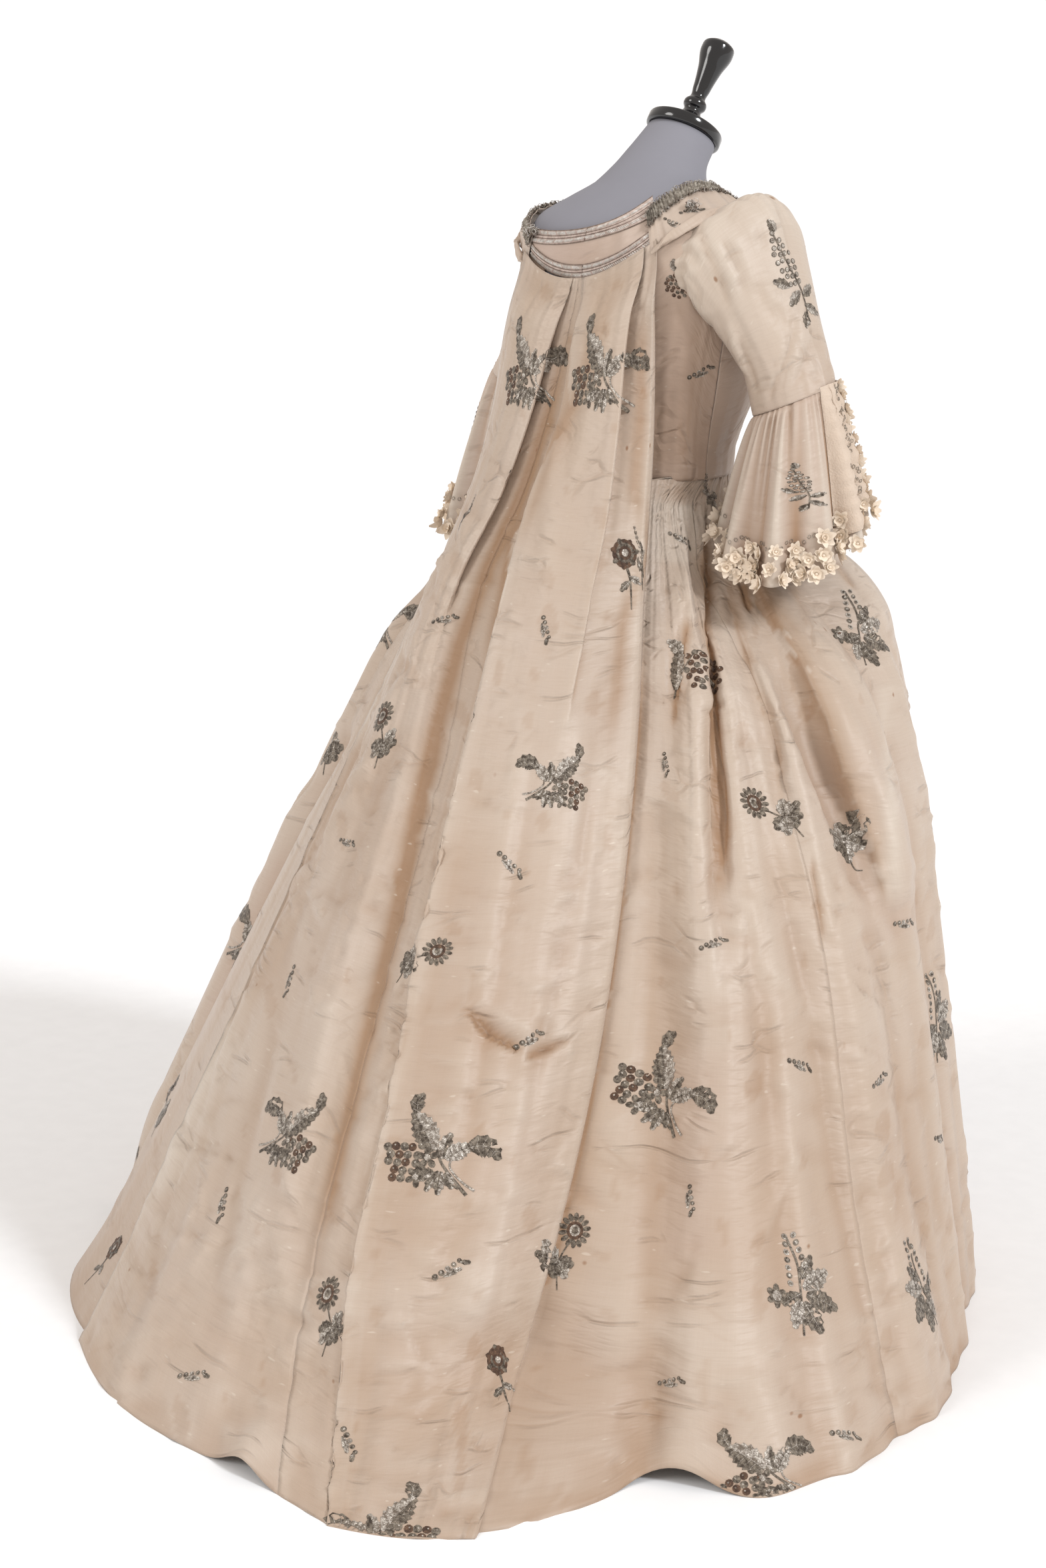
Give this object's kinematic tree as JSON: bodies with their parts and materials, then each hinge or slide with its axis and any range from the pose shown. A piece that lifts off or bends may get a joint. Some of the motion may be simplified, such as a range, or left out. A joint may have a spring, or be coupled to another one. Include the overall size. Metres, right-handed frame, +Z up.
{
  "type": "robe a la francaise on a dress form",
  "caption": "Eighteenth-century sack-back gown in brocaded silk with a pleated back and train, flounced elbow sleeves and metal lace, on a limbless dress form with a round stand.",
  "frame": {"origin": "centre of the stand's round foot, on the floor", "axes": "+Z up; the wearer faces -Y, so the train trails towards +Y; +X is the wearer's left"},
  "size_m": [1.3562, 1.2913, 1.6306],
  "materials": {
    "silk": "ivory silk taffeta with brocaded pewter-grey motifs, soft sheen",
    "metal_lace": "braided metal-thread lace, tarnished silver",
    "fly_fringe": "cream silk fly fringe, matt",
    "white_lace": "white lace, matt",
    "form_cover": "smooth light grey jersey",
    "form_black": "black gloss lacquer",
    "stand_steel": "satin black paint"
  },
  "bodies": {
    "root": {"sack_back_left": "silk", "sack_back_right": "silk", "skirt_side_left": "silk", "skirt_side_right": "silk", "skirt_front_left": "silk", "skirt_front_right": "silk", "bodice_back_left": "silk", "bodice_back_right": "silk", "bodice_front_left": "silk", "bodice_front_right": "silk", "neck_band": "silk", "robing_left": "silk", "robing_right": "silk", "sleeve_left": "silk", "sleeve_right": "silk", "sleeve_flounce_left": "silk", "sleeve_flounce_right": "silk", "stomacher": "silk", "petticoat_front": "silk", "neck_lace_lower": "metal_lace", "neck_lace_upper": "metal_lace", "robing_frill_left": "metal_lace", "robing_frill_right": "metal_lace", "flounce_fringe_left": "fly_fringe", "flounce_fringe_right": "fly_fringe", "lace_frill_left": "white_lace", "lace_frill_right": "white_lace", "form_torso": "form_cover", "form_neck_cap": "form_black", "form_finial": "form_black", "stand_pole": "stand_steel", "stand_base": "stand_steel"}
  },
  "joints": []
}
